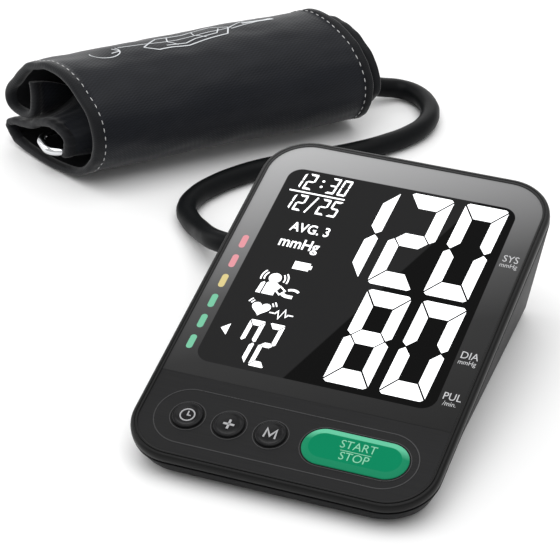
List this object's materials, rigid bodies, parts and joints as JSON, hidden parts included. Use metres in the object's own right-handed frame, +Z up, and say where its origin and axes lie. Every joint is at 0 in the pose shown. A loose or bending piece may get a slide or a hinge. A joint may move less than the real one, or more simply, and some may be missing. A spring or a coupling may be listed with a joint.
{
  "type": "upper arm blood pressure monitor",
  "caption": "Wedge-shaped upper-arm blood pressure monitor with a large screen, round keys and a green start key, joined by an air hose to a rolled fabric arm cuff.",
  "frame": {"origin": "on the table, under the middle of the footprint of the desk unit and the rolled cuff, without the hose", "axes": "+Z up, +X to the desk unit's right, +Y towards the desk unit's high back edge"},
  "size_m": [0.2228, 0.2667, 0.0482],
  "materials": {
    "case_black": "fine spark-eroded black moulded plastic",
    "rim_grey": "satin dark grey moulded plastic",
    "lens": "gloss screen cover with a printed grey border",
    "lcd": "negative liquid crystal display",
    "backlight": "white light guide",
    "panel_black": "brushed black panel",
    "button_black": "satin black plastic",
    "button_green": "satin green plastic",
    "light_red": "pastel red light pipe",
    "light_yellow": "pastel yellow light pipe",
    "light_green": "pastel green light pipe",
    "circuit": "green circuit board",
    "rubber_black": "matt black rubber",
    "steel": "plated steel",
    "cell_wrap": "plain printed cell jacket",
    "pump_white": "moulded white plastic",
    "nylon_black": "black nylon with a fine twill and a soft sheen",
    "lining_black": "black brushed loop lining",
    "bladder_rubber": "thin black rubber",
    "chrome": "polished chrome wire"
  },
  "bodies": {
    "monitor": {"lower_housing": "case_black", "upper_housing": "rim_grey", "display_lens": "lens", "lcd_panel": "lcd", "lcd_backlight": "backlight", "button_panel": "panel_black", "main_board": "circuit", "key_board": "circuit", "keypad_membrane": "rubber_black", "status_light_1": "light_red", "status_light_2": "light_red", "status_light_3": "light_yellow", "status_light_4": "light_green", "status_light_5": "light_green", "status_light_6": "light_green", "pressure_sensor": "pump_white", "buzzer": "button_black", "air_socket": "rubber_black", "pump_head": "pump_white", "pump_motor": "steel", "exhaust_valve": "rubber_black", "internal_air_tube": "rubber_black", "battery_tray": "case_black", "battery_1": "cell_wrap", "battery_2": "cell_wrap", "battery_3": "cell_wrap", "battery_4": "cell_wrap", "battery_contact_left": "steel", "battery_contact_right": "steel", "rubber_foot_1": "rubber_black", "rubber_foot_2": "rubber_black", "rubber_foot_3": "rubber_black", "rubber_foot_4": "rubber_black", "case_screw_1": "steel", "case_screw_2": "steel", "case_screw_3": "steel", "case_screw_4": "steel"},
    "clock_key": {"clock_button": "button_black"},
    "plus_key": {"plus_button": "button_black"},
    "memory_key": {"memory_button": "button_black"},
    "start_key": {"start_button": "button_green"},
    "door": {"battery_door": "case_black"},
    "cuff": {"cuff_outer_cloth": "nylon_black", "cuff_bladder": "bladder_rubber", "cuff_lining": "lining_black", "cuff_inner_fold": "nylon_black", "hook_patch": "lining_black", "ring_channel": "nylon_black", "air_hose": "rubber_black", "air_plug": "rubber_black", "hose_grommet": "rubber_black"},
    "ring": {"d_ring": "chrome"}
  },
  "joints": [
    {"name": "clock_button_press", "type": "slide", "parent": "monitor", "child": "clock_key", "axis": [0, 0.2756, -0.9613], "range_m": [0, 0.0008], "stiffness_N_per_m": 300},
    {"name": "plus_button_press", "type": "slide", "parent": "monitor", "child": "plus_key", "axis": [0, 0.2756, -0.9613], "range_m": [0, 0.0008], "stiffness_N_per_m": 300},
    {"name": "memory_button_press", "type": "slide", "parent": "monitor", "child": "memory_key", "axis": [0, 0.2756, -0.9613], "range_m": [0, 0.0008], "stiffness_N_per_m": 300},
    {"name": "start_button_press", "type": "slide", "parent": "monitor", "child": "start_key", "axis": [0, 0.2756, -0.9613], "range_m": [0, 0.0008], "stiffness_N_per_m": 300},
    {"name": "battery_door_slide", "type": "slide", "parent": "monitor", "child": "door", "axis": [0, 1, 0], "range_m": [0, 0.02]},
    {"name": "air_plug_pull", "type": "slide", "parent": "monitor", "child": "cuff", "axis": [-1, 0, 0], "range_m": [0, 0.015]},
    {"name": "d_ring_swing", "type": "hinge", "parent": "cuff", "child": "ring", "pos_m": [-0.04422, 0.07043, 0.0104], "axis": [0.7108, 0.7034, 0], "range_deg": [0, 30]}
  ]
}
